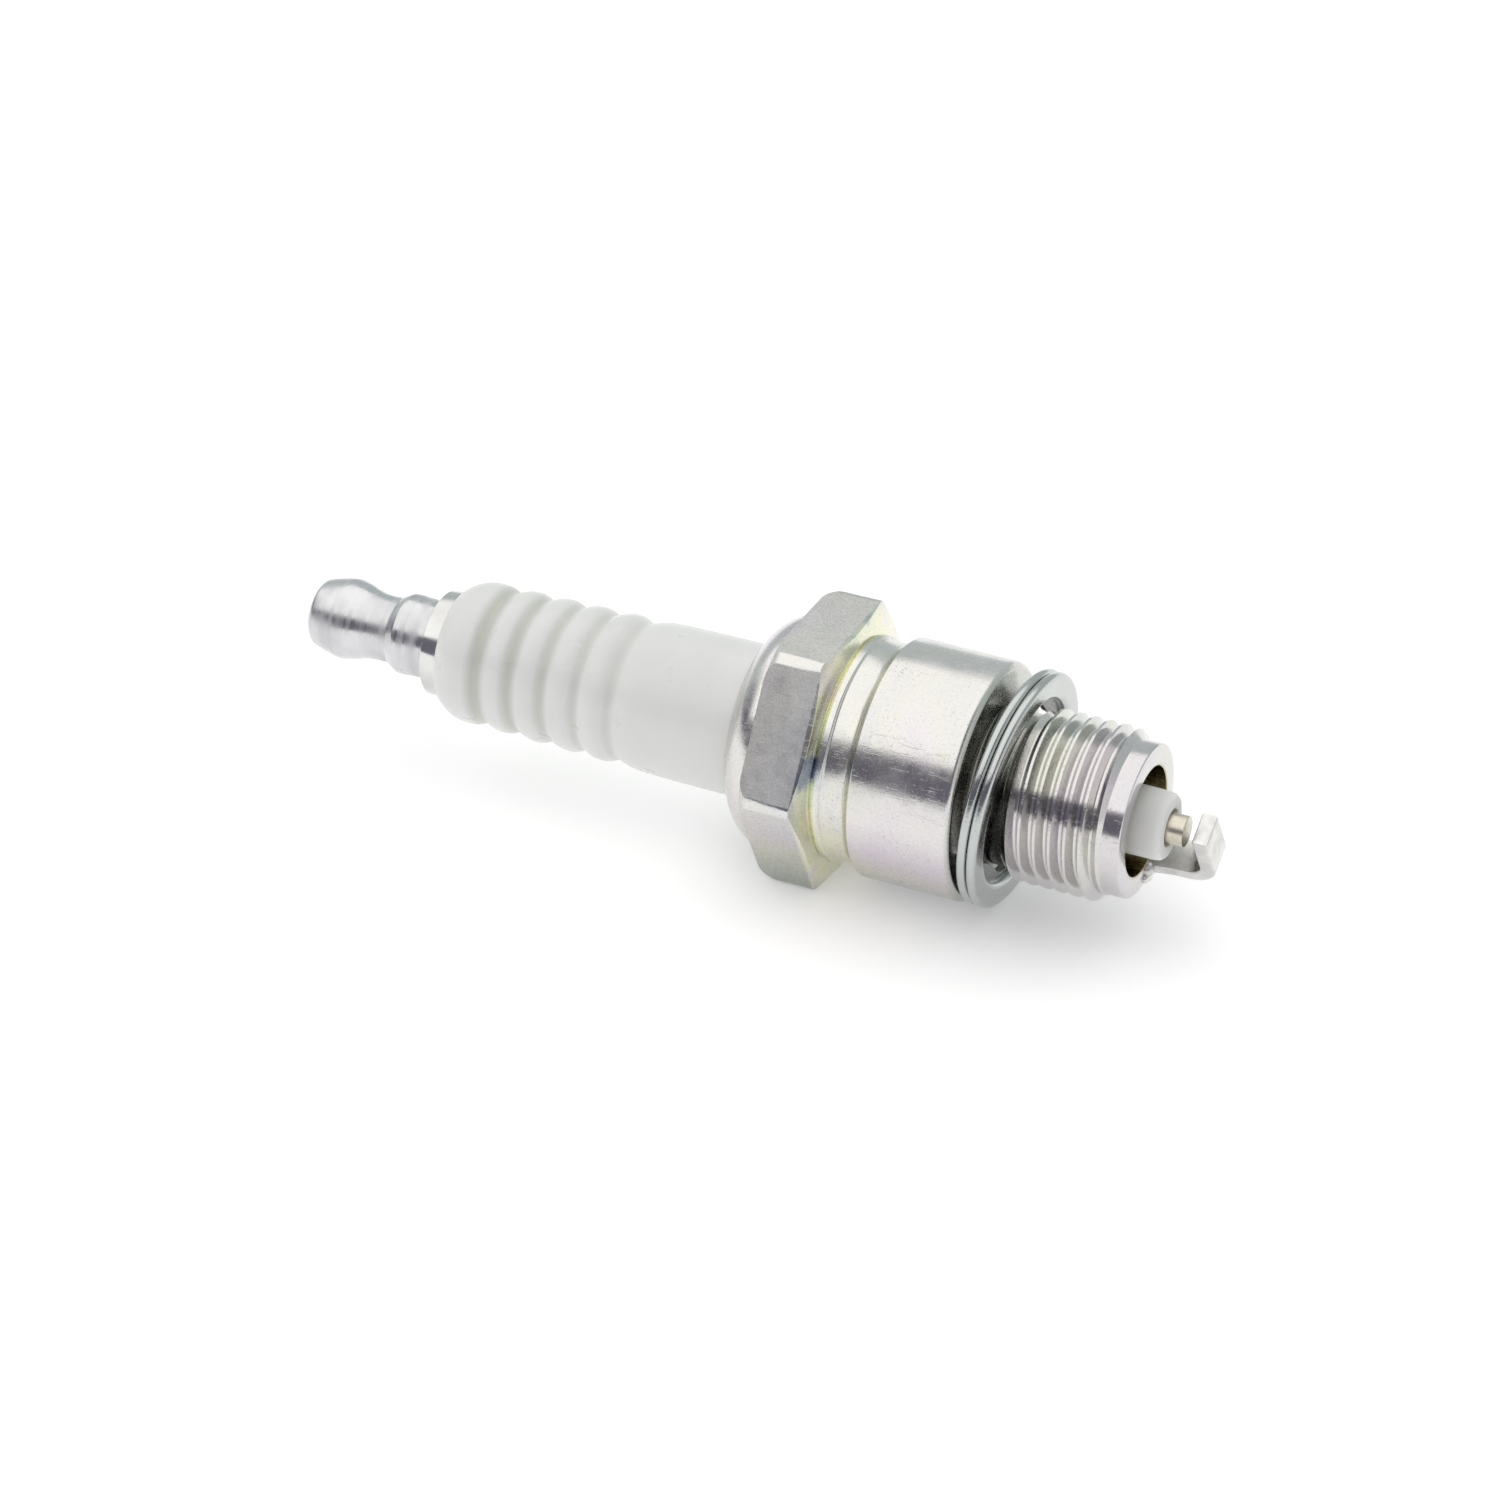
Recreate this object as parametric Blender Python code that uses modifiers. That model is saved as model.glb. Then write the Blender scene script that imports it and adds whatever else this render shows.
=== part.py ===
"""Spark plug with an M14 x 1.25 thread, 12.7 mm reach and a screw-on terminal nut.

The plug lies along X on one flat of its hexagon, as it does on a bench. The firing end
points to +X, the terminal to -X, and the origin is the centre of the seat face.

Every piece is drawn upright about its own Z axis, in millimetres. A height of 0 is the seat
face, positive heights run towards the terminal and negative ones towards the firing end.
An outline is a list of (radius, height) points that runs down the outside of the piece.
"""
import math

import bmesh
import bpy
from mathutils import Matrix, Vector

MM = 0.001
WELD = 0.00001
SMOOTH_ANGLE = math.radians(32)

# Clearance between neighbouring pieces
GAP = 0.3

# Shell, firing end and thread
REACH = 12.7
THREAD_R = 7.0
THREAD_PITCH = 1.25
THREAD_ROOT_R = 6.27
THREAD_START = -2.9
NECK_R = 6.2
PILOT_R = 6.2
PILOT_TOP = -11.2
BORE_R = 4.48

# Shell, seat to crimp
SEAT_R = 9.3
BARREL_R = 9.8
BARREL_TOP = 8.55
GROOVE_R = 9.0
RIDGE_R = 9.3
RIDGE_TOP = 11.7
HEX_FLATS = 20.8
HEX_CORNER_R = HEX_FLATS / math.sqrt(3)
HEX_ROUND_R = 11.93
HEX_BOTTOM = 12.65
HEX_TOP = 17.1
HEX_SHOULDER = (0.8, 1.5)
CRIMP_R = 9.8
CRIMP_BEND = (3.0, 3.2)
LIP_R = 6.6
WIDE_BORE_R = 7.9
WIDE_BORE_TOP = 18.9
NARROW_BORE_R = 5.4
INNER_SEAT = -3.1

# Insulator
BODY_R = 6.27
RIB_R = 5.88
LAST_RIB_R = 6.13
RIB_GROOVES = 5
RIB_SPACING = 2.98
FIRST_GROOVE = 43.33
GROOVE_HALF_WIDTH = 0.55
GROOVE_DEPTH = 0.5
INSULATOR_TOP = 47.4
TOP_ROUND = 3.4
SHOULDER_R = WIDE_BORE_R - GAP
SHOULDER_TOP = 12.0
STEM_R = NARROW_BORE_R - 0.4
STEP_TOP = (STEM_R, -1.9)
STEP_BOTTOM = (4.05, -3.0)
NOSE_R = 2.75
NOSE_TIP = -14.8
NOSE_ROUND = 0.7
STUD_BORE_R = 2.25
WIRE_BORE_R = 1.55
BORE_STEP = 11.0

# Seals inside the shell
RING_R = (BODY_R + WIDE_BORE_R) / 2
RING_WIRE_R = 0.5
LOWER_RING = 13.9
UPPER_RING = 17.8
SEAT_PACKING_THICKNESS = 0.42

# Terminal stud and nut
STUD_THREAD_R = 2.0
STUD_ROOT_R = 1.65
STUD_PITCH = 0.7
STUD_R = STUD_BORE_R - GAP
FLANGE_R = 4.42
FLANGE_BOTTOM = INSULATOR_TOP + GAP
FLANGE_TOP = 48.95
STUD_TOP = 56.3
STUD_FOOT = 23.3
FOOT_R = 1.3
NUT_BOTTOM = FLANGE_TOP + GAP
NUT_LENGTH = 11.05
NUT_COLLAR_R = 3.38
NUT_WAIST_R = 2.74
NUT_BULB_R = 3.39
NUT_TIP_R = 2.5
NUT_BORE_R = STUD_THREAD_R + GAP
NUT_BORE_DEPTH = 7.4

# Glass seal between the stud's foot and the centre electrode's head
SEAL_R = STUD_BORE_R - GAP
CUP_R = FOOT_R + GAP
CUP_TOP_DEPTH = 2.4
CUP_BOTTOM_DEPTH = 1.6
SEAL_BOTTOM = 12.3

# Centre electrode
WIRE_R = 1.25
WIRE_TIP = -16.1
HEAD_TOP = SEAL_BOTTOM + CUP_BOTTOM_DEPTH - GAP
COLLAR_R = 1.9
COLLAR_TOP = SEAL_BOTTOM - GAP
COLLAR_BOTTOM = BORE_STEP + GAP
CORE_R = 0.65
CORE_TIP = -10.7

# Ground electrode: a strap that stands on the shell's end face and bends across the gap
SPARK_GAP = 1.0
STRAP_THICKNESS = 1.3
STRAP_WIDTH = 2.8
STRAP_R = 5.3
STRAP_OVERHANG = 1.3
STRAP_BEND = 1.4
STRAP_TURN = math.radians(145.9)
STRAP_EDGE = 0.12
FLASH_R = 0.45

# Gasket: a folded steel ring that hangs loose around the neck under the seat
GASKET_HEIGHT = -1.92
GASKET_R = 9.8
GASKET_HOLE_R = 7.7
GASKET_LOBE = 0.42
GASKET_TILT = (math.radians(2.2), math.radians(4.6), 0.0)
GASKET_TABS = 2
FIRST_TAB = math.radians(43.4)
TAB_SIZE = (1.4, 2.2, 0.4)
TAB_INNER_R = 6.7

# Facets around a full turn
FINE = 40
MEDIUM = 28
COARSE = 16
SHELL_THREAD_FACETS = 32
STUD_THREAD_FACETS = 16

# A small turn of each thread, which keeps its edges off the edges of its core
THREAD_TURN = 0.02


def arc(centre, radius, start, end, points):
    """Points on an arc about centre, from start to end in degrees, 0 pointing outwards."""
    step = math.radians(end - start) / (points - 1)
    angles = [math.radians(start) + step * i for i in range(points)]
    return [(centre[0] + radius * math.cos(a), centre[1] + radius * math.sin(a)) for a in angles]


def elliptic_arc(centre, sizes, start, end, points):
    """Points on an ellipse about centre, whose half-widths across and along the axis are sizes."""
    circle = arc((0.0, 0.0), 1.0, start, end, points)
    return [(centre[0] + sizes[0] * r, centre[1] + sizes[1] * h) for r, h in circle]


def collection(name):
    group = bpy.data.collections.new(name)
    bpy.context.scene.collection.children.link(group)
    return group


def add_object(name, mesh, group):
    piece = bpy.data.objects.new(name, mesh)
    group.objects.link(piece)
    return piece


def applied(piece):
    """Give an object the mesh that its modifiers make of it."""
    bpy.context.view_layer.update()
    depsgraph = bpy.context.evaluated_depsgraph_get()
    mesh = bpy.data.meshes.new_from_object(piece.evaluated_get(depsgraph))
    piece.modifiers.clear()
    piece.data = mesh
    return piece


def from_bmesh(name, shape, group):
    mesh = bpy.data.meshes.new(name)
    shape.to_mesh(mesh)
    shape.free()
    return add_object(name, mesh, group)


def turned(name, outline, group, steps=FINE):
    """Turn an outline about Z: a solid from axis to axis, or a ring whose ends join."""
    mesh = bpy.data.meshes.new(name)
    verts = [(r * MM, 0.0, h * MM) for r, h in outline]
    edges = [(i, i + 1) for i in range(len(verts) - 1)]
    if outline[0][0] > 0.0:
        edges.append((len(verts) - 1, 0))
    mesh.from_pydata(verts, edges, [])
    piece = add_object(name, mesh, group)
    screw = piece.modifiers.new("turn", "SCREW")
    screw.steps = steps
    screw.render_steps = steps
    screw.use_merge_vertices = True
    screw.merge_threshold = WELD
    return applied(piece)


def boolean(piece, other, operation):
    step = piece.modifiers.new(operation.lower(), "BOOLEAN")
    step.operation = operation
    step.object = other
    step.solver = "EXACT"
    other.hide_render = True
    other.display_type = "WIRE"


def thread_ridge(name, crest_r, root_r, pitch, bottom, top, steps, group):
    """A right-hand helical ridge as one solid, sunk a little below the root to join the core."""
    sunk_r = root_r - 0.12
    crest_half = pitch / 16
    flank = (crest_r - sunk_r) * math.tan(math.radians(30))
    section = [(sunk_r, -crest_half - flank), (crest_r, -crest_half),
               (crest_r, crest_half), (sunk_r, crest_half + flank)]
    count = round((top - bottom) / pitch * steps)
    shape = bmesh.new()
    corners = [shape.verts.new((r * MM, 0.0, (bottom + h) * MM)) for r, h in section]
    face = shape.faces.new(corners)
    bmesh.ops.spin(shape, geom=[face], cent=(0.0, 0.0, 0.0), axis=(0.0, 0.0, 1.0),
                   dvec=(0.0, 0.0, pitch / steps * MM), angle=math.tau * count / steps, steps=count)
    bmesh.ops.recalc_face_normals(shape, faces=shape.faces)
    ridge = from_bmesh(name, shape, group)
    ridge.rotation_euler.z = THREAD_TURN
    return ridge


# ---------------------------------------------------------------- shell

def shell_outline():
    """The hexagon's corners are rounded to HEX_ROUND_R; it slopes on its firing side."""
    outside = [(LIP_R, HEX_TOP + CRIMP_BEND[1] - 0.6)]
    outside += elliptic_arc((CRIMP_R - CRIMP_BEND[0], HEX_TOP), CRIMP_BEND, 90, 0, 8)
    shoulder = (HEX_ROUND_R - HEX_SHOULDER[0], HEX_TOP - HEX_SHOULDER[1])
    outside += elliptic_arc(shoulder, HEX_SHOULDER, 90, 0, 5)
    outside += [(HEX_ROUND_R, HEX_BOTTOM), (GROOVE_R + 0.15, RIDGE_TOP + 0.1)]
    outside += [(RIDGE_R, RIDGE_TOP), (RIDGE_R, RIDGE_TOP - 0.3), (GROOVE_R, RIDGE_TOP - 0.65)]
    outside += [(GROOVE_R, BARREL_TOP + 0.75)]
    outside += [(BARREL_R - 0.06, BARREL_TOP + 0.02), (BARREL_R, BARREL_TOP - 0.06)]
    outside += [(BARREL_R, 0.5), (SEAT_R, 0.0), (NECK_R + 0.25, 0.0), (NECK_R, -0.25)]
    outside += [(NECK_R, THREAD_START + 0.3), (THREAD_ROOT_R, THREAD_START), (THREAD_ROOT_R, PILOT_TOP)]
    outside += [(PILOT_R, PILOT_TOP - 0.1), (PILOT_R, -REACH + 0.2), (PILOT_R - 0.15, -REACH)]
    inside = [(BORE_R + 0.1, -REACH), (BORE_R, -REACH + 0.1), (BORE_R, INNER_SEAT - 0.9)]
    inside += [(NARROW_BORE_R, INNER_SEAT), (NARROW_BORE_R, 4.0), (WIDE_BORE_R, 5.6)]
    bend = WIDE_BORE_R - LIP_R
    inside += arc((LIP_R, WIDE_BORE_TOP - bend), bend, 0, 90, 4)
    return outside + inside


def metal_shell(parts, cutters):
    shell = turned("metal_shell", shell_outline(), parts)

    hexagon = bmesh.new()
    middle = Matrix.Translation((0.0, 0.0, 20.0 * MM))
    bmesh.ops.create_cone(hexagon, cap_ends=True, segments=6, radius1=HEX_CORNER_R * MM,
                          radius2=HEX_CORNER_R * MM, depth=30.0 * MM, matrix=middle)
    hexagon = from_bmesh("hexagon", hexagon, cutters)
    around_hexagon = turned("around_hexagon", [(0.0, 30.0), (14.0, 30.0), (14.0, 10.5), (0.0, 10.5)], cutters)
    boolean(around_hexagon, hexagon, "DIFFERENCE")
    boolean(shell, around_hexagon, "DIFFERENCE")
    applied(shell)

    ridge = thread_ridge("shell_thread", THREAD_R, THREAD_ROOT_R, THREAD_PITCH,
                         PILOT_TOP - 0.6, THREAD_START - 0.2, SHELL_THREAD_FACETS, cutters)
    limits = [(7.5, -1.0), (7.5, -9.6), (PILOT_R - 0.1, -11.4), (NECK_R - 0.3, -11.4), (NECK_R - 0.3, -1.0)]
    envelope = turned("shell_thread_envelope", limits, cutters)
    boolean(ridge, envelope, "INTERSECT")
    boolean(shell, ridge, "UNION")
    return shell


# ---------------------------------------------------------------- ceramic and seals

def rib_groove(height):
    """A groove with a flat floor and rounded shoulders, from top to bottom."""
    along = (FIRST_GROOVE - height) / (RIB_SPACING * (RIB_GROOVES - 1))
    crest = RIB_R + (LAST_RIB_R - RIB_R) * along
    upper = [(crest, GROOVE_HALF_WIDTH + 0.12), (crest - 0.12, GROOVE_HALF_WIDTH - 0.05),
             (crest - GROOVE_DEPTH, GROOVE_HALF_WIDTH - 0.35)]
    lower = [(r, -h) for r, h in reversed(upper)]
    return [(r, height + h) for r, h in upper + lower]


def insulator(parts):
    outside = [(4.6, INSULATOR_TOP)] + arc((RIB_R - TOP_ROUND, INSULATOR_TOP - 2.4), TOP_ROUND, 44, 0, 6)
    for i in range(RIB_GROOVES):
        outside += rib_groove(FIRST_GROOVE - RIB_SPACING * i)
    outside += [(BODY_R - 0.08, 29.7), (BODY_R, 24.0), (BODY_R, SHOULDER_TOP + 1.6)]
    outside += [(SHOULDER_R, SHOULDER_TOP), (SHOULDER_R, 6.1), (STEM_R, 4.3), STEP_TOP, STEP_BOTTOM]
    outside += [(NOSE_R + 0.7, -4.2), (NOSE_R + 0.05, -10.0)]
    outside += arc((NOSE_R - NOSE_ROUND, NOSE_TIP + NOSE_ROUND), NOSE_ROUND, 0, -90, 5)
    inside = [(WIRE_BORE_R, NOSE_TIP), (WIRE_BORE_R, BORE_STEP - 0.6), (STUD_BORE_R, BORE_STEP)]
    inside += [(STUD_BORE_R, INSULATOR_TOP - 0.2), (STUD_BORE_R + 0.2, INSULATOR_TOP)]
    return turned("insulator", outside + inside, parts)


def packing_ring(name, height, parts):
    return turned(name, arc((RING_R, height), RING_WIRE_R, 180, -135, 8), parts, MEDIUM)


def talc_ring(parts):
    inner = BODY_R + GAP
    outer = WIDE_BORE_R - GAP
    bottom = LOWER_RING + RING_WIRE_R + GAP
    top = UPPER_RING - RING_WIRE_R - GAP
    return turned("talc_ring", [(outer, top), (outer, bottom), (inner, bottom), (inner, top)], parts, MEDIUM)


def seat_packing(parts):
    """The conical washer that carries the insulator's step on the shell's inner seat."""
    step = Vector(STEP_BOTTOM) - Vector(STEP_TOP)
    outwards = Vector((-step.y, step.x)).normalized()
    top = Vector(STEP_TOP) + step * 0.4 + outwards * GAP
    bottom = Vector(STEP_TOP) + step * 0.85 + outwards * GAP
    back = outwards * SEAT_PACKING_THICKNESS
    return turned("seat_packing", [top + back, bottom + back, bottom, top], parts, MEDIUM)


def glass_seal(parts):
    """Conductive glass, cupped at both ends around the stud's foot and the electrode's head."""
    upper_floor = STUD_FOOT - GAP
    upper_rim = upper_floor + CUP_TOP_DEPTH
    outline = [(0.0, upper_floor), (CUP_R, upper_floor), (CUP_R, upper_rim), (SEAL_R, upper_rim)]
    outline += [(SEAL_R, SEAL_BOTTOM), (CUP_R, SEAL_BOTTOM), (CUP_R, SEAL_BOTTOM + CUP_BOTTOM_DEPTH)]
    outline += [(0.0, SEAL_BOTTOM + CUP_BOTTOM_DEPTH)]
    return turned("glass_seal", outline, parts, COARSE)


# ---------------------------------------------------------------- terminal

def terminal_stud(parts, cutters):
    """A steel pin through the insulator, with a flange on top and an M4 thread above it."""
    shoulder = STUD_FOOT + CUP_TOP_DEPTH
    outline = [(0.0, STUD_TOP), (STUD_ROOT_R - 0.35, STUD_TOP), (STUD_ROOT_R, STUD_TOP - 0.35)]
    outline += [(STUD_ROOT_R, FLANGE_TOP + 0.1), (STUD_ROOT_R + 0.1, FLANGE_TOP)]
    outline += [(FLANGE_R - 0.12, FLANGE_TOP), (FLANGE_R, FLANGE_TOP - 0.12)]
    outline += [(FLANGE_R, FLANGE_BOTTOM + 0.12), (FLANGE_R - 0.12, FLANGE_BOTTOM), (STUD_R, FLANGE_BOTTOM)]
    outline += [(STUD_R, shoulder + 0.3), (FOOT_R, shoulder), (FOOT_R, STUD_FOOT + 0.2)]
    outline += [(FOOT_R - 0.2, STUD_FOOT), (0.0, STUD_FOOT)]
    stud = turned("terminal_stud", outline, parts, MEDIUM)

    ridge = thread_ridge("stud_thread", STUD_THREAD_R, STUD_ROOT_R, STUD_PITCH,
                         FLANGE_TOP + 0.7, STUD_TOP, STUD_THREAD_FACETS, cutters)
    limits = [(1.6, STUD_TOP - 0.1), (2.6, STUD_TOP - 1.1), (2.6, FLANGE_TOP + 0.4), (1.3, FLANGE_TOP + 0.4),
              (1.3, STUD_TOP - 0.1)]
    envelope = turned("stud_thread_envelope", limits, cutters, MEDIUM)
    boolean(ridge, envelope, "INTERSECT")
    boolean(stud, ridge, "UNION")
    return stud


def terminal_nut(parts):
    """The snap-on head that screws down over the stud. Its origin is the middle of its lower face."""
    top = NUT_LENGTH
    outline = [(0.0, top), (NUT_TIP_R, top), (2.8, top - 0.3), (3.05, top - 1.1), (3.2, top - 1.7)]
    outline += [(NUT_BULB_R, top - 2.6), (NUT_BULB_R - 0.02, top - 3.1), (NUT_BULB_R - 0.23, top - 4.1)]
    outline += [(NUT_WAIST_R + 0.2, top - 4.65), (NUT_WAIST_R + 0.05, top - 5.4), (NUT_WAIST_R, top - 6.2)]
    outline += [(NUT_WAIST_R, 3.78), (NUT_WAIST_R + 0.2, 3.66), (NUT_COLLAR_R - 0.03, 2.95)]
    outline += [(NUT_COLLAR_R, 2.7), (NUT_COLLAR_R - 0.08, 1.5)]
    outline += [(NUT_COLLAR_R - 0.1, 0.1), (NUT_COLLAR_R - 0.2, 0.0)]
    outline += [(NUT_BORE_R + 0.3, 0.0), (NUT_BORE_R, 0.3), (NUT_BORE_R, NUT_BORE_DEPTH)]
    outline += [(0.0, NUT_BORE_DEPTH + 0.8)]
    nut = turned("terminal_nut", outline, parts, MEDIUM)
    nut.location.z = NUT_BOTTOM * MM
    return nut


# ---------------------------------------------------------------- electrodes

def centre_electrode(parts):
    """The nickel sheath: closed at the tip, with a collar and a bore for the copper core."""
    bore_r = CORE_R + GAP
    outline = [(0.0, CORE_TIP - GAP), (bore_r, CORE_TIP - GAP), (bore_r, HEAD_TOP), (FOOT_R, HEAD_TOP)]
    outline += [(FOOT_R, COLLAR_TOP), (COLLAR_R, COLLAR_TOP), (COLLAR_R, COLLAR_BOTTOM)]
    outline += [(WIRE_R, COLLAR_BOTTOM - 0.4), (WIRE_R, WIRE_TIP + 0.05), (WIRE_R - 0.05, WIRE_TIP)]
    outline += [(0.0, WIRE_TIP)]
    return turned("center_electrode", outline, parts, MEDIUM)


def copper_core(parts):
    outline = [(0.0, HEAD_TOP), (CORE_R, HEAD_TOP), (CORE_R, CORE_TIP), (0.0, CORE_TIP)]
    return turned("copper_core", outline, parts, COARSE)


def ground_electrode(parts, cutters):
    foot = -REACH - GAP
    face = WIRE_TIP - SPARK_GAP
    back = face - STRAP_THICKNESS
    inner_r = STRAP_R - STRAP_THICKNESS / 2
    outer_r = STRAP_R + STRAP_THICKNESS / 2
    centre = (inner_r - STRAP_BEND, face + STRAP_BEND)
    side = [(inner_r, foot)] + arc(centre, STRAP_BEND, 0, -90, 7)
    side += [(-STRAP_OVERHANG, face), (-STRAP_OVERHANG, back)]
    side += arc(centre, STRAP_BEND + STRAP_THICKNESS, -90, 0, 9) + [(outer_r, foot)]

    outline = bpy.data.curves.new("strap_outline", "CURVE")
    outline.dimensions = "2D"
    outline.fill_mode = "BOTH"
    outline.extrude = STRAP_WIDTH / 2 * MM
    spline = outline.splines.new("POLY")
    spline.points.add(len(side) - 1)
    for point, (r, h) in zip(spline.points, side):
        point.co = (r * MM, h * MM, 0.0, 1.0)
    spline.use_cyclic_u = True
    flat = add_object("strap_outline", outline, cutters)
    bpy.context.view_layer.update()
    depsgraph = bpy.context.evaluated_depsgraph_get()
    shape = bmesh.new()
    shape.from_mesh(bpy.data.meshes.new_from_object(flat.evaluated_get(depsgraph)))
    bpy.data.objects.remove(flat)
    bmesh.ops.remove_doubles(shape, verts=shape.verts, dist=WELD)
    bmesh.ops.transform(shape, matrix=Matrix.Rotation(math.pi / 2, 4, "X"), verts=shape.verts)
    bmesh.ops.recalc_face_normals(shape, faces=shape.faces)
    strap = from_bmesh("ground_electrode", shape, parts)
    edges = strap.modifiers.new("worn_edges", "BEVEL")
    edges.width = STRAP_EDGE * MM
    edges.segments = 2
    edges.limit_method = "ANGLE"
    edges.angle_limit = math.radians(40)

    # The welded foot: four beads of flash around the corners of the strap
    for number, (along, across) in enumerate(((1, 1), (1, -1), (-1, 1), (-1, -1))):
        bead = bmesh.new()
        bmesh.ops.create_icosphere(bead, subdivisions=2, radius=FLASH_R * MM)
        place = Vector((STRAP_R + along * 0.5, across * (STRAP_WIDTH / 2 - 0.1), foot - FLASH_R)) * MM
        bmesh.ops.translate(bead, verts=bead.verts, vec=place)
        boolean(strap, from_bmesh(f"weld_bead_{number}", bead, cutters), "UNION")
    return strap


# ---------------------------------------------------------------- gasket

def gasket(parts, cutters):
    """A ring of folded steel strip: two round lobes at the rim and a flat face on either side."""
    rim_r = GASKET_R - GASKET_LOBE
    half = 2 * GASKET_LOBE
    outline = [(GASKET_HOLE_R, half - 0.15), (GASKET_HOLE_R + 0.15, half)]
    outline += arc((rim_r, GASKET_LOBE), GASKET_LOBE, 90, -60, 7)
    outline += arc((rim_r, -GASKET_LOBE), GASKET_LOBE, 60, -90, 7)
    outline += [(GASKET_HOLE_R + 0.15, -half), (GASKET_HOLE_R, -half + 0.15)]
    ring = turned("gasket", outline, parts)

    # Lips pinched inwards, which keep the ring behind the thread
    for number in range(GASKET_TABS):
        tab = bmesh.new()
        bmesh.ops.create_cube(tab, size=1.0)
        place = Matrix.Rotation(FIRST_TAB + math.tau * number / GASKET_TABS, 4, "Z")
        place @= Matrix.Translation(Vector((TAB_INNER_R + TAB_SIZE[0] / 2, 0.0, 0.0)) * MM)
        place @= Matrix.Diagonal((*(Vector(TAB_SIZE) * MM), 1.0))
        bmesh.ops.transform(tab, matrix=place, verts=tab.verts)
        cutter = from_bmesh(f"gasket_tab_{number}", tab, cutters)
        boolean(ring, cutter, "UNION")
    applied(ring)
    ring.location.z = GASKET_HEIGHT * MM
    ring.rotation_euler = GASKET_TILT
    return ring


# ---------------------------------------------------------------- assembly

def dress(piece, colour, roughness, metallic):
    """Apply the Booleans, shade the round faces smooth, and give the piece its own material."""
    applied(piece)
    piece.data.shade_smooth()
    piece.data.set_sharp_from_angle(angle=SMOOTH_ANGLE)
    finish = bpy.data.materials.new(piece.name)
    finish.use_nodes = True
    shader = finish.node_tree.nodes["Principled BSDF"]
    shader.inputs["Base Color"].default_value = (*colour, 1.0)
    shader.inputs["Roughness"].default_value = roughness
    shader.inputs["Metallic"].default_value = metallic
    finish.diffuse_color = (*colour, 1.0)
    piece.data.materials.clear()
    piece.data.materials.append(finish)


def main():
    for old in list(bpy.data.objects):
        bpy.data.objects.remove(old, do_unlink=True)
    parts = collection("spark_plug")
    cutters = collection("cutters")

    pieces = [
        (metal_shell(parts, cutters), (0.78, 0.77, 0.75), 0.28, 1.0),
        (insulator(parts), (0.90, 0.90, 0.87), 0.30, 0.0),
        (terminal_nut(parts), (0.88, 0.89, 0.90), 0.22, 1.0),
        (terminal_stud(parts, cutters), (0.72, 0.72, 0.71), 0.30, 1.0),
        (glass_seal(parts), (0.12, 0.13, 0.13), 0.35, 0.0),
        (centre_electrode(parts), (0.66, 0.62, 0.54), 0.35, 1.0),
        (copper_core(parts), (0.85, 0.45, 0.30), 0.35, 1.0),
        (ground_electrode(parts, cutters), (0.75, 0.74, 0.72), 0.25, 1.0),
        (gasket(parts, cutters), (0.76, 0.77, 0.76), 0.25, 1.0),
        (packing_ring("upper_packing_ring", UPPER_RING, parts), (0.55, 0.55, 0.55), 0.40, 1.0),
        (talc_ring(parts), (0.85, 0.84, 0.80), 0.90, 0.0),
        (packing_ring("lower_packing_ring", LOWER_RING, parts), (0.55, 0.55, 0.55), 0.40, 1.0),
        (seat_packing(parts), (0.60, 0.60, 0.60), 0.40, 1.0),
    ]
    for piece, colour, roughness, metallic in pieces:
        dress(piece, colour, roughness, metallic)

    # Turn the strap to its place, then lay the whole plug down with the terminal to -X
    bpy.data.objects["ground_electrode"].rotation_euler.z = STRAP_TURN
    axis = add_object("plug_axis", None, parts)
    axis.rotation_euler.y = -math.pi / 2
    for piece in [row[0] for row in pieces] + list(cutters.objects):
        piece.parent = axis


main()
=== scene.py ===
"""Spark plug: the looks. Fine turned and threaded meshes, and their finishes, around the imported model.

Lengths are in millimetres until a mesh is made. The plug's axis is X: the seat face is at x = 0,
the firing end is at +X and the terminal at -X. An outline is a list of (x, radius) points around
one half of a piece's section. A third number rounds that corner by so much.
"""
import math

import bmesh
import bpy
import numpy as np
from mathutils import Matrix, Vector


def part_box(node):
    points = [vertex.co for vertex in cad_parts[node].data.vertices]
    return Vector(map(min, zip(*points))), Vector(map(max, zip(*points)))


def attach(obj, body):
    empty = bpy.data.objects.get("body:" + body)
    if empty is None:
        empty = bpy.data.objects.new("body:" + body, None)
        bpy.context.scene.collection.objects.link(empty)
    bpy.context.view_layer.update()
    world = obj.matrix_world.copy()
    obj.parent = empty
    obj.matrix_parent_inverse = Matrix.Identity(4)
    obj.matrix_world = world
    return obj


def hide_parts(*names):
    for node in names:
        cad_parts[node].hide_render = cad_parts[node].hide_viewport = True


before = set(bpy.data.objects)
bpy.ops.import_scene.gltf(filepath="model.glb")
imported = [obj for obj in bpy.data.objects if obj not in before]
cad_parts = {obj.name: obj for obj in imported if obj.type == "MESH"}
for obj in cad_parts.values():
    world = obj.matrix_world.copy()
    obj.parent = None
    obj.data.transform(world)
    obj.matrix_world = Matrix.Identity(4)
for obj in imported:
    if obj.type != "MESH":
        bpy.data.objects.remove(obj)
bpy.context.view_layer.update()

MM = 0.001
SMOOTH_ANGLE = math.radians(32)


def node_span(node):
    """The lowest and highest corner of a CAD node, in millimetres."""
    low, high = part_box(node)
    return low / MM, high / MM


SHELL_LOW, SHELL_HIGH = node_span("metal_shell")
INSULATOR_LOW, INSULATOR_HIGH = node_span("insulator")
STUD_LOW, STUD_HIGH = node_span("terminal_stud")
NUT_LOW, NUT_HIGH = node_span("terminal_nut")
ELECTRODE_LOW, ELECTRODE_HIGH = node_span("center_electrode")
_, STRAP_HIGH = node_span("ground_electrode")

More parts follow.
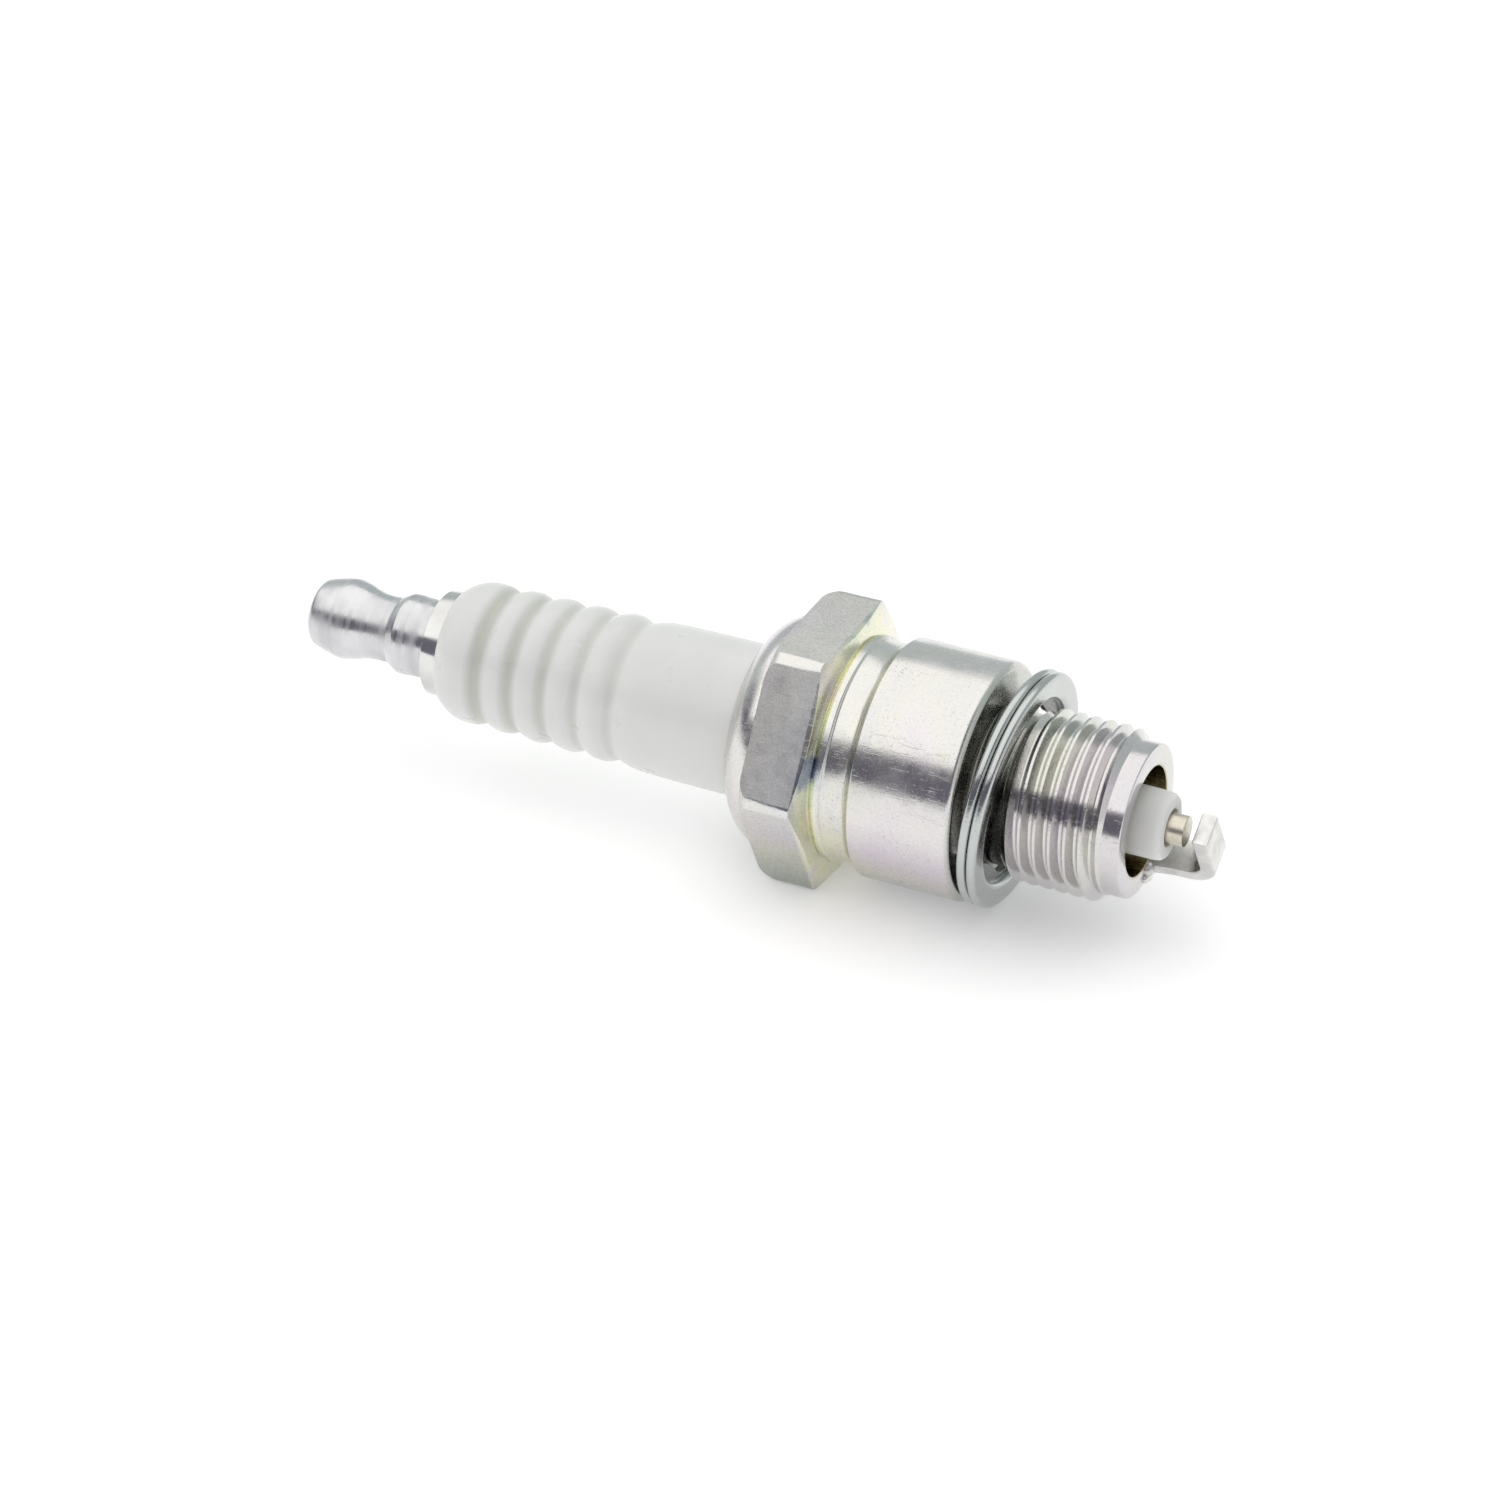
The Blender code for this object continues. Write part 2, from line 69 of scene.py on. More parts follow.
# Shell: its corners are a little rounder than the CAD's; HEX_SHOULDER is (along the axis, outwards)
END_X = SHELL_HIGH.x
LIP_X = SHELL_LOW.x
HALF_SECTOR = math.radians(30)
HEX_FLAT_R = SHELL_HIGH.z
SHARP_CORNER_R = HEX_FLAT_R / math.cos(HALF_SECTOR)
CORNER_R = SHELL_HIGH.y - 0.07
HEX_CORNER_ROUND = (SHARP_CORNER_R - CORNER_R) / (SHARP_CORNER_R / HEX_FLAT_R - 1.0)
HEX_TOP_X = -17.1
HEX_SHOULDER = (1.5, 0.8)
SHOULDER_FOOT_R = CORNER_R - HEX_SHOULDER[1]
HEX_LOW_CORNER_X = -12.65
RIDGE_X = -11.7
RIDGE_WIDTH = 0.5
RIDGE_R = 9.3
GROOVE_R = 9.0
BARREL_R = 9.8
BARREL_X = -8.55
SEAT_R = 9.3
NECK_R = 6.2
THREAD_R = 7.05
THREAD_ROOT_R = 6.27
THREAD_PITCH = 1.25
THREAD_X = (2.9, 11.2)
THREAD_RUN = (0.8, 0.8)
PILOT_R = 6.27
BORE_R = 4.48
BORE_STEP_X = (3.1, 4.0)
NARROW_BORE_R = 5.4
WIDE_STEP_X = (-5.6, -4.0)
WIDE_BORE_R = 7.9
WIDE_BORE_X = -18.9
CRIMP_R = 9.8
CRIMP_BEND = 3.1
CRIMP_SLACK = 1.2
LIP_R = 6.36

# Insulator
BODY_R = 6.27
RIB_R = 5.88
LAST_RIB_R = 6.13
RIB_GROOVES = 5
RIB_SPACING = 2.98
FIRST_GROOVE_X = -43.33
GROOVE_HALF_WIDTH = 0.95
GROOVE_DEPTH = 0.54
TOP_R = 4.6
TOP_ROUND = 3.4
NECK_END_X = -27.5
BODY_X = (-24.0, -13.6)
SHOULDER_X = (-12.0, -6.1)
SHOULDER_R = 7.6
STEM_X = (-4.3, 1.9)
STEM_R = 5.0
NOSE_STEP = (3.0, 4.05)
NOSE_X = (4.2, 10.0)
NOSE_R = 2.75
STUD_BORE_R = 2.25
WIRE_BORE_R = 1.55
BORE_NARROWS_X = (-11.0, -10.4)

# Terminal
STUD_THREAD_R = 2.0
STUD_ROOT_R = 1.65
STUD_PITCH = 0.7
STUD_R = 1.95
STUD_FOOT_R = 1.3
FLANGE_R = STUD_HIGH.y
FLANGE_X = (-48.95, -47.43)
STUD_THREAD_X = (STUD_LOW.x + 0.05, FLANGE_X[0] - 0.4)
STUD_THREAD_RUN = (0.5, 0.6)
COLLAR_R = 3.38
WAIST_R = 2.74
BULB_R = NUT_HIGH.y
TIP_R = 2.5
NUT_BORE_R = 2.3
NUT_BORE_DEPTH = 7.4

# Electrodes: STRAP_FLARE is (extra half width at the weld, length of the flare), STRAP_TIP is
# (inset, scale) of its last sections, WELD_LUMPS are (outwards of the strap, across it, radius)
WIRE_R = 1.25
SHEATH_R = 1.3
HEAD_X = (-12.0, -11.3)
HEAD_R = 1.9
HOLLOW_END_X = 11.0
HOLLOW_R = 0.95
STRAP_THICKNESS = 1.3
STRAP_WIDTH = 2.8
STRAP_EDGE = 0.22
STRAP_R = 5.3
STRAP_BEND = 1.4
STRAP_OVERHANG = 1.3
STRAP_FLARE = (0.3, 3.0)
STRAP_TIP = ((0.12, 1.0), (0.035, 0.965), (0.0, 0.88))
STRAP_SUNK = 0.05
WELD_LUMPS = ((-0.4, -1.85, 0.62), (0.15, -2.1, 0.54), (0.45, -1.6, 0.44), (-0.15, -2.6, 0.38),
              (0.55, -0.6, 0.3), (0.5, 0.8, 0.3), (-0.3, 1.75, 0.45), (0.2, 1.85, 0.36))
STRAP_TURN = math.radians(-55.9)

# Gasket: GASKET_SEAM is (half width, depth), GASKET_TILT is about (Y, Z)
GASKET_X = 1.92
GASKET_R = 9.8
GASKET_HOLE_R = 7.7
GASKET_LOBE = 0.42
GASKET_SEAM = (0.02, 0.3)
GASKET_TILT = (math.radians(4.6), math.radians(2.2))
GASKET_TABS = (math.radians(51.0), math.radians(231.0))
GASKET_LIP_HALF = 0.18
GASKET_LIP_R = 7.25
GASKET_TAB_R = 6.45
GASKET_TAB_SPREAD = math.radians(19)


# ---------------------------------------------------------------- meshes

def arc(centre, radius, start, end, points):
    """Points on an arc in the plane of an outline, from start to end in degrees, 0 towards +X."""
    angles = np.radians(np.linspace(start, end, points))
    return [(centre[0] + radius * math.cos(a), centre[1] + radius * math.sin(a)) for a in angles]


def rounded(outline, steps=4):
    """Replace each corner that has a third number by a curve that reaches so far along both sides."""
    result = []
    count = len(outline)
    for i, point in enumerate(outline):
        here = Vector(point[:2])
        if len(point) < 3:
            result.append(here)
            continue
        before = Vector(outline[i - 1][:2]) - here
        after = Vector(outline[(i + 1) % count][:2]) - here
        start = here + before.normalized() * min(point[2], before.length * 0.45)
        end = here + after.normalized() * min(point[2], after.length * 0.45)
        for t in np.linspace(0.0, 1.0, steps):
            result.append(start * (1 - t) ** 2 + here * (2 * t * (1 - t)) + end * t ** 2)
    return result


def finish_mesh(name, verts, faces, body):
    """One closed smooth-shaded piece, in metres, that rides on a body."""
    mesh = bpy.data.meshes.new(name)
    mesh.from_pydata(verts, [], faces)
    shape = bmesh.new()
    shape.from_mesh(mesh)
    bmesh.ops.remove_doubles(shape, verts=shape.verts, dist=0.0005 * MM)
    bmesh.ops.dissolve_degenerate(shape, edges=shape.edges, dist=0.0002 * MM)
    loose = [edge for edge in shape.edges if not edge.link_faces]
    bmesh.ops.delete(shape, geom=loose, context="EDGES")
    bmesh.ops.recalc_face_normals(shape, faces=shape.faces)
    shape.to_mesh(mesh)
    shape.free()
    mesh.shade_smooth()
    mesh.set_sharp_from_angle(angle=SMOOTH_ANGLE)
    piece = bpy.data.objects.new(name, mesh)
    bpy.context.scene.collection.objects.link(piece)
    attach(piece, body)
    return piece


def tube_faces(size, count):
    """Quads between neighbouring loops of points, each loop closed and of the same size."""
    faces = []
    for loop in range(count - 1):
        for i in range(size):
            a = loop * size + i
            b = loop * size + (i + 1) % size
            faces.append((a, b, b + size, a + size))
    return faces


def turned_grid(name, columns, body, offset=None):
    """A solid from outlines around the axis. columns is a list of (angle, points), first angle to last
    a full turn; every outline is closed and has the same number of points. offset moves (x, y, z)."""
    verts = []
    for angle, points in columns:
        side, up = math.cos(angle), math.sin(angle)
        for x, r in points:
            place = (x, r * side, r * up)
            if offset:
                place = offset(*place)
            verts.append((place[0] * MM, place[1] * MM, place[2] * MM))
    faces = tube_faces(len(columns[0][1]), len(columns))
    return finish_mesh(name, verts, faces, body)


def turned(name, outline, body, steps):
    """A solid with the same outline all round the axis."""
    points = rounded(outline)
    columns = [(math.tau * i / steps, points) for i in range(steps + 1)]
    return turned_grid(name, columns, body)


def thread_points(angle, limits, run, radii, pitch):
    """One column of a right-hand thread that runs towards +X: crests shift along X as it turns.
    run is the length over which the thread rises at its start and fades at its end."""
    start, end = limits
    root, crest = radii
    flat = pitch / 12
    foot = pitch / 2 - flat * 0.8
    half_tooth = ((foot, 0.0), (foot - 0.05, 0.03), (flat, 1.0))
    tooth = [(-along, rise) for along, rise in half_tooth] + list(reversed(half_tooth))
    turns = math.ceil((end - start) / pitch) + 2
    points = []
    for turn in range(turns):
        middle = start + pitch * (turn - 1.0 + angle / math.tau)
        for along, rise in tooth:
            x = min(max(middle + along, start), end)
            height = min(rise, (x - start) / run[0], (end - x) / run[1])
            points.append(Vector((x, root + (crest - root) * height)))
    return points


# ---------------------------------------------------------------- shell

def hexagon_radius(angle):
    """Distance from the axis to the hexagon's flats and round corners at an angle."""
    from_flat = angle % (2 * HALF_SECTOR) - HALF_SECTOR
    from_corner = HALF_SECTOR - abs(from_flat)
    if from_corner > corner_angle():
        return HEX_FLAT_R / math.cos(from_flat)
    middle = (HEX_FLAT_R - HEX_CORNER_ROUND) / math.cos(HALF_SECTOR)
    aside = middle * math.sin(from_corner)
    return middle * math.cos(from_corner) + math.sqrt(HEX_CORNER_ROUND ** 2 - aside ** 2)


def corner_angle():
    """How far from a corner's middle its round meets the flat."""
    half_flat = (HEX_FLAT_R - HEX_CORNER_ROUND) * math.tan(HALF_SECTOR)
    return HALF_SECTOR - math.atan(half_flat / HEX_FLAT_R)


def shell_angles():
    """Even steps, with more beside the hexagon's corners to keep its edges crisp."""
    crease = math.degrees(corner_angle())
    near = [crease * part for part in (0.0, 0.2, 0.4, 0.6, 0.8, 1.0, 1.2, 1.6)]
    half = near + list(np.linspace(5.0, 30.0, 21))
    sector = half + [60.0 - a for a in reversed(half[1:-1])]
    return [math.radians(60 * k + a) for k in range(6) for a in sector] + [math.tau]


def buckle(angle):
    """A slow ripple of the ridge, where the shell was heated and squeezed."""
    return 0.05 * math.sin(3 * angle + 0.8) + 0.03 * math.sin(7 * angle + 2.0)


def crimp_and_shoulder(flat):
    """The crimp's lip and bend, the hexagon's end face, and its shoulder up to radius flat."""
    outline = [(LIP_X + 0.75, LIP_R), (LIP_X + 0.3, LIP_R + 0.03)]
    for x, r in arc((0.0, 0.0), 1.0, 178, 92, 24):
        along = (HEX_TOP_X - LIP_X) * abs(x) ** CRIMP_SLACK
        outline.append((HEX_TOP_X - along, CRIMP_R - CRIMP_BEND * (1.0 - r ** CRIMP_SLACK)))
    foot = min(flat, SHOULDER_FOOT_R)
    outline += [(HEX_TOP_X, CRIMP_R + 0.03), (HEX_TOP_X, foot)]
    reach = min(1.0, max(0.0, flat - SHOULDER_FOOT_R) / HEX_SHOULDER[1])
    for a in np.linspace(0.0, math.asin(reach), 8)[1:]:
        x = HEX_TOP_X + HEX_SHOULDER[0] * (1.0 - math.cos(a))
        outline.append((x, foot + HEX_SHOULDER[1] * math.sin(a)))
    return outline


def groove_and_barrel(flat, ridge):
    """From the hexagon's lower corner over the ridge and the groove to the barrel, seat and neck."""
    slope = (RIDGE_X - 0.1 - HEX_LOW_CORNER_X) / (CORNER_R - GROOVE_R)
    outline = [(HEX_LOW_CORNER_X + (CORNER_R - flat) * slope, flat, 0.06)]
    outline += [(ridge - 0.15, GROOVE_R + 0.05, 0.1), (ridge - 0.04, RIDGE_R, 0.06)]
    outline += [(ridge + RIDGE_WIDTH, RIDGE_R - 0.02, 0.1)]
    outline += [(ridge + RIDGE_WIDTH + 0.16, GROOVE_R + 0.06, 0.12)]
    outline += [(BARREL_X - 1.5, GROOVE_R, 0.5), (BARREL_X - 0.55, GROOVE_R + 0.12, 0.3)]
    outline += [(BARREL_X, BARREL_R, 0.1), (-6.0, BARREL_R), (-3.0, BARREL_R)]
    outline += [(-0.42, BARREL_R, 0.25), (0.0, SEAT_R, 0.12), (0.0, NECK_R + 0.3, 0.15)]
    outline += [(0.35, NECK_R, 0.15), (THREAD_X[0] - 0.25, NECK_R)]
    return outline


def shell_column(angle):
    """The shell's whole section at one angle, from the crimp's lip round the outside and back inside."""
    flat = hexagon_radius(angle)
    points = rounded(crimp_and_shoulder(flat) + groove_and_barrel(flat, RIDGE_X + buckle(angle)))
    points += thread_points(angle, THREAD_X, THREAD_RUN, (THREAD_ROOT_R, THREAD_R), THREAD_PITCH)
    inside = [(THREAD_X[1] + 0.1, PILOT_R), (END_X, PILOT_R, 0.22), (END_X, BORE_R, 0.1)]
    inside += [(BORE_STEP_X[1], BORE_R, 0.2), (BORE_STEP_X[0], NARROW_BORE_R, 0.2)]
    inside += [(WIDE_STEP_X[1], NARROW_BORE_R, 0.2), (WIDE_STEP_X[0], WIDE_BORE_R, 0.2)]
    lip_round = WIDE_BORE_R - LIP_R
    inside += arc((WIDE_BORE_X + lip_round, LIP_R), lip_round, 90, 178, 8)
    return points + rounded([points[-1]] + inside + [points[0]])[1:-1]


def metal_shell():
    """The shell in one closed mesh: crimp, hexagon, buckled ridge, barrel, seat, thread and bore."""
    columns = [(angle, shell_column(angle)) for angle in shell_angles()]
    return turned_grid("shell", columns, "plug")


# ---------------------------------------------------------------- ceramic

def rib_groove(middle):
    """One scooped groove of the ribbed neck: the crest before it, its floor and the crest behind it.
    The crests grow a little from the first groove to the last."""
    along = (middle - FIRST_GROOVE_X) / (RIB_SPACING * (RIB_GROOVES - 1))
    crest = RIB_R + (LAST_RIB_R - RIB_R) * along
    return [(middle - GROOVE_HALF_WIDTH, crest, 0.4), (middle, crest - GROOVE_DEPTH, 0.55),
            (middle + GROOVE_HALF_WIDTH, crest, 0.5)]


def insulator():
    """The ceramic: ribbed neck, plain body, shoulder, stem and nose, with its bore right through."""
    top = INSULATOR_LOW.x
    tip = INSULATOR_HIGH.x
    outline = [(top, STUD_BORE_R + 0.2, 0.1), (top, TOP_R, 0.1)]
    outline += arc((top + 2.4, RIB_R - TOP_ROUND), TOP_ROUND, 133, 90, 14)
    for i in range(RIB_GROOVES):
        outline += rib_groove(FIRST_GROOVE_X + RIB_SPACING * i)
    outline[-1] = (outline[-2][0] + 1.5, LAST_RIB_R, 0.7)
    outline += [(NECK_END_X, BODY_R - 0.04, 0.8), (BODY_X[0], BODY_R), (BODY_X[1], BODY_R, 0.3)]
    outline += [(SHOULDER_X[0], SHOULDER_R, 0.3), (SHOULDER_X[1], SHOULDER_R, 0.3)]
    outline += [(STEM_X[0], STEM_R, 0.4), (STEM_X[1], STEM_R, 0.3), (*NOSE_STEP, 0.3)]
    outline += [(NOSE_X[0], NOSE_R + 0.7, 0.5), (NOSE_X[1], NOSE_R + 0.05, 0.5), (tip, NOSE_R, 0.7)]
    outline += [(tip, WIRE_BORE_R, 0.12), (BORE_NARROWS_X[1], WIRE_BORE_R, 0.2)]
    outline += [(BORE_NARROWS_X[0], STUD_BORE_R, 0.2), (top + 0.2, STUD_BORE_R, 0.1)]
    return turned("ceramic", outline, "plug", steps=224)


# ---------------------------------------------------------------- terminal

def terminal_nut():
    """The turned nut: a domed tip and bulb, a waist, and a collar with the blind bore in its foot."""
    tip = NUT_LOW.x
    foot = NUT_HIGH.x
    outline = [(tip, 0.0), (tip, TIP_R, 0.15), (tip + 0.3, 2.8, 0.2), (tip + 1.1, 3.05, 0.3)]
    outline += [(tip + 1.7, 3.2, 0.3), (tip + 2.6, BULB_R, 0.4), (tip + 3.1, BULB_R - 0.02, 0.3)]
    outline += [(tip + 4.1, BULB_R - 0.23, 0.4), (tip + 4.7, WAIST_R + 0.2, 0.4)]
    outline += [(tip + 5.4, WAIST_R + 0.05, 0.3), (tip + 6.2, WAIST_R, 0.3), (foot - 3.78, WAIST_R, 0.08)]
    outline += [(foot - 3.7, WAIST_R + 0.2, 0.06), (foot - 2.95, COLLAR_R - 0.03, 0.06)]
    outline += [(foot - 2.7, COLLAR_R, 0.1), (foot - 1.5, COLLAR_R - 0.08, 0.5)]
    outline += [(foot - 0.06, COLLAR_R - 0.1, 0.05)]
    outline += [(foot, COLLAR_R - 0.16, 0.04), (foot, NUT_BORE_R + 0.3, 0.05)]
    outline += [(foot - 0.3, NUT_BORE_R, 0.05), (foot - NUT_BORE_DEPTH, NUT_BORE_R, 0.1)]
    outline += [(foot - NUT_BORE_DEPTH - 0.8, 0.0)]
    return turned("nut", outline, "nut", steps=128)


def terminal_stud():
    """The stud: its thread, the flange on the ceramic's top, and the shank down to its foot."""
    foot = STUD_HIGH.x
    steps = 96
    radii = (STUD_ROOT_R, STUD_THREAD_R)
    columns = []
    for i in range(steps + 1):
        angle = math.tau * i / steps
        thread = thread_points(angle, STUD_THREAD_X, STUD_THREAD_RUN, radii, STUD_PITCH)
        rest = [thread[-1], (FLANGE_X[0], STUD_ROOT_R, 0.15), (FLANGE_X[0], FLANGE_R, 0.15)]
        rest += [(FLANGE_X[1], FLANGE_R, 0.06), (FLANGE_X[1], STUD_R, 0.05), (foot - 2.7, STUD_R, 0.1)]
        rest += [(foot - 2.4, STUD_FOOT_R, 0.1), (foot, STUD_FOOT_R, 0.2), (foot, 0.0)]
        rest += [(STUD_LOW.x, 0.0), (STUD_LOW.x, STUD_ROOT_R - 0.3), thread[0]]
        columns.append((angle, thread + rounded(rest)[1:-1]))
    return turned_grid("stud", columns, "plug")


# ---------------------------------------------------------------- electrodes

def centre_electrode():
    """The nickel sheath: a head that sits on the bore's step, the long wire, and the core's hollow."""
    end = ELECTRODE_LOW.x
    tip = ELECTRODE_HIGH.x
    outline = [(end, HOLLOW_R), (end, SHEATH_R, 0.05), (HEAD_X[0], SHEATH_R, 0.05)]
    outline += [(HEAD_X[0], HEAD_R, 0.05), (HEAD_X[1], HEAD_R, 0.05), (HEAD_X[1] + 0.4, WIRE_R, 0.05)]
    outline += [(tip, WIRE_R, 0.07), (tip, 0.0), (HOLLOW_END_X, 0.0), (HOLLOW_END_X, HOLLOW_R)]
    return turned("electrode", outline, "plug", steps=96)


def strap_route():
    """Stations of the strap, (x, radius, lean): up from the end face, round the bend, over the tip."""
    middle = STRAP_HIGH.x - STRAP_THICKNESS / 2
    bend = STRAP_BEND + STRAP_THICKNESS / 2
    route = [(x, STRAP_R, 0.0) for x in np.linspace(END_X - STRAP_SUNK, middle - bend, 14)]
    for lean in np.radians(np.linspace(0.0, 90.0, 22)[1:]):
        route.append((middle - bend + bend * math.sin(lean), STRAP_R - bend + bend * math.cos(lean), lean))
    route += [(middle, r, math.pi / 2) for r in np.linspace(STRAP_R - bend, -STRAP_OVERHANG, 20)[1:]]
    return route


def strap_section():
    """The strap's section, (across, through), with rounded edges."""
    wide = STRAP_WIDTH / 2 - STRAP_EDGE
    thick = STRAP_THICKNESS / 2 - STRAP_EDGE
    section = []
    for across, through, start in ((1, 1, 0), (-1, 1, 90), (-1, -1, 180), (1, -1, 270)):
        section += arc((across * wide, through * thick), STRAP_EDGE, start, start + 90, 6)
    return section


def ground_electrode():
    """The strap: a bar swept from its weld on the end face to its rounded tip, with the weld's flash."""
    turn = Matrix.Rotation(STRAP_TURN, 3, "X")
    route = strap_route()
    section = strap_section()
    stations = [(*place, 1.0) for place in route[:-1]]
    last_x, last_r, last_lean = route[-1]
    stations += [(last_x, last_r + inset, last_lean, scale) for inset, scale in STRAP_TIP]
    verts = []
    for x, r, lean, scale in stations:
        near_weld = max(0.0, 1.0 - (x - END_X) / STRAP_FLARE[1])
        widening = (1.0 + STRAP_FLARE[0] / (STRAP_WIDTH / 2) * near_weld ** 2) * (1 - (1 - scale) * 0.5)
        along, out = scale * math.sin(lean), scale * math.cos(lean)
        for across, through in section:
            place = Vector((x + through * along, r + through * out, across * widening))
            verts.append(turn @ place * MM)
    faces = tube_faces(len(section), len(stations))
    faces.append(tuple(range(len(section))))
    faces.append(tuple(range(len(verts) - len(section), len(verts))))
    for out, across, radius in WELD_LUMPS:
        add_lump(verts, faces, Vector((END_X + STRAP_SUNK, STRAP_R + out, across)), radius, turn)
    return finish_mesh("strap", verts, faces, "plug")


def add_lump(verts, faces, centre, radius, turn):
    """A low round lump of weld flash, flattened onto the end face, before the strap's turn."""
    lump = bmesh.new()
    bmesh.ops.create_icosphere(lump, subdivisions=3, radius=radius)
    first = len(verts)
    for vert in lump.verts:
        flattened = Vector((vert.co.x * 0.8, vert.co.y, vert.co.z))
        verts.append(turn @ (centre + flattened) * MM)
    for face in lump.faces:
        faces.append(tuple(first + vert.index for vert in face.verts))
    lump.free()


# ---------------------------------------------------------------- gasket

def gasket_outline(lip_r):
    """The ring's section: two rolled lobes with an open seam, and a thin lip that reaches in to lip_r."""
    rim = GASKET_R - GASKET_LOBE
    half = 2 * GASKET_LOBE
    hole = GASKET_HOLE_R
    seam, depth = GASKET_SEAM
    outline = [(-half, hole + 0.15, 0.1)]
    outline += arc((-GASKET_LOBE, rim), GASKET_LOBE, 180, 20, 16)
    outline += [(-seam, rim - depth), (seam, rim - depth)]
    outline += arc((GASKET_LOBE, rim), GASKET_LOBE, 160, 0, 16)
    outline += [(half, hole + 0.3, 0.2), (half - 0.25, hole, 0.1), (0.2, hole + 0.02)]
    outline += [(GASKET_LIP_HALF, lip_r, 0.08), (-GASKET_LIP_HALF, lip_r, 0.08)]
    outline += [(-0.2, hole + 0.02), (-half + 0.2, hole, 0.1)]
    return outline


def gasket():
    """The folded ring, tilted as it lies. Its lip is pinched further in at two tabs."""
    steps = 256
    columns = []
    for i in range(steps + 1):
        angle = math.tau * i / steps
        away = min(abs(math.remainder(angle - tab, math.tau)) for tab in GASKET_TABS)
        pinch = math.exp(-(away / GASKET_TAB_SPREAD) ** 4)
        lip_r = GASKET_LIP_R - (GASKET_LIP_R - GASKET_TAB_R) * pinch
        columns.append((angle, rounded(gasket_outline(lip_r))))
    tilt = Matrix.Rotation(GASKET_TILT[0], 3, "Y") @ Matrix.Rotation(-GASKET_TILT[1], 3, "Z")

    def tilted(x, y, z):
        place = tilt @ Vector((x, y, z))
        return place.x + GASKET_X, place.y, place.z
    return turned_grid("folded_ring", columns, "washer", tilted)


# ---------------------------------------------------------------- finishes

class Nodes:
    """Short calls for the nodes of one node tree, which read the place that they are given."""

    def __init__(self, tree, coordinates):
        self.tree = tree
        self.place = tree.nodes.new("ShaderNodeTexCoord").outputs[coordinates]

    def link(self, source, target):
        self.tree.links.new(source, target)

    def stretched(self, scale):
        mapping = self.tree.nodes.new("ShaderNodeMapping")
        mapping.inputs["Scale"].default_value = scale
        self.link(self.place, mapping.inputs["Vector"])
        return mapping.outputs["Vector"]

    def noise(self, scale, detail=4.0, roughness=0.55, stretch=None, distortion=0.0):
        """Noise whose features are about 1 / scale metres across."""
        node = self.tree.nodes.new("ShaderNodeTexNoise")
        node.inputs["Scale"].default_value = scale
        node.inputs["Detail"].default_value = detail
        node.inputs["Roughness"].default_value = roughness
        node.inputs["Distortion"].default_value = distortion
        self.link(self.stretched(stretch) if stretch else self.place, node.inputs["Vector"])
        return node.outputs["Fac"]

    def ramp(self, source, stops):
        node = self.tree.nodes.new("ShaderNodeValToRGB")
        elements = node.color_ramp.elements
        while len(elements) < len(stops):
            elements.new(0.5)
        for element, (position, colour) in zip(elements, stops):
            element.position = position
            element.color = (*colour, 1.0)
        self.link(source, node.inputs["Fac"])
        return node.outputs["Color"]

    def span(self, source, low, high, to_low=0.0, to_high=1.0):
        """Map a value from low..high to to_low..to_high."""
        node = self.tree.nodes.new("ShaderNodeMapRange")
        for name, value in zip(("From Min", "From Max", "To Min", "To Max"), (low, high, to_low, to_high)):
            node.inputs[name].default_value = value
        self.link(source, node.inputs["Value"])
        return node.outputs["Result"]

    def mix(self, factor, first, second, blend="MIX"):
        node = self.tree.nodes.new("ShaderNodeMix")
        node.data_type = "RGBA"
        node.blend_type = blend
        for value, socket in ((factor, node.inputs[0]), (first, node.inputs[6]), (second, node.inputs[7])):
            if isinstance(value, bpy.types.NodeSocket):
                self.link(value, socket)
            elif isinstance(value, tuple):
                socket.default_value = (*value, 1.0)
            else:
                socket.default_value = value
        return node.outputs[2]

    def maths(self, operation, first, second):
        node = self.tree.nodes.new("ShaderNodeMath")
        node.operation = operation
        for value, socket in zip((first, second), node.inputs):
            if isinstance(value, bpy.types.NodeSocket):
                self.link(value, socket)
            else:
                socket.default_value = value
        return node.outputs[0]

    def plus(self, first, second):
        return self.maths("ADD", first, second)

    def times(self, first, second):
        return self.maths("MULTIPLY", first, second)

    def axes(self):
        separate = self.tree.nodes.new("ShaderNodeSeparateXYZ")
        self.link(self.place, separate.inputs[0])
        return tuple(separate.outputs)


